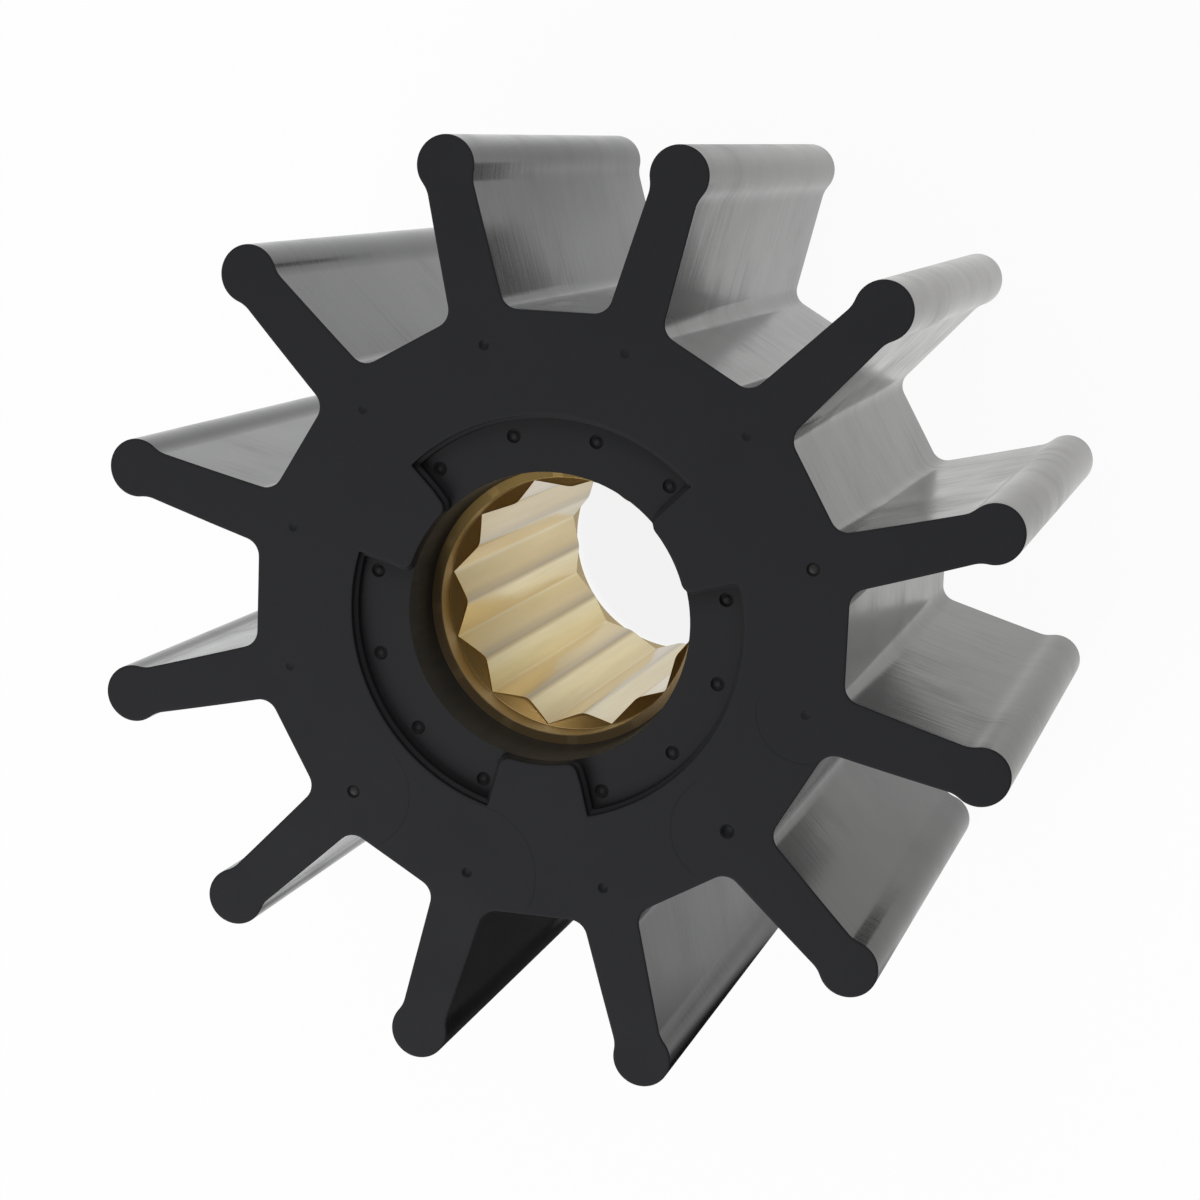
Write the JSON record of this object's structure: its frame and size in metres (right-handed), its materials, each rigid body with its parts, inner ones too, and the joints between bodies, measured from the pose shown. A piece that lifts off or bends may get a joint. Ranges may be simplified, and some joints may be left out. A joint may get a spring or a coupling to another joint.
{
  "type": "rubber pump impeller",
  "caption": "Moulded rubber pump impeller with straight round-tipped blades and a splined brass bushing in its hub.",
  "frame": {"origin": "centre of the rear face, on the axis of the bore", "axes": "+Z along the bore from the rear face to the front face, +Y along one blade"},
  "size_m": [0.095, 0.095, 0.063],
  "materials": {
    "rubber": "satin moulded rubber, darker and duller on the two faces",
    "brass": "bright broached brass with a turned lead-in at each end"
  },
  "bodies": {
    "root": {"impeller_rubber": "rubber", "splined_bushing": "brass"}
  },
  "joints": []
}
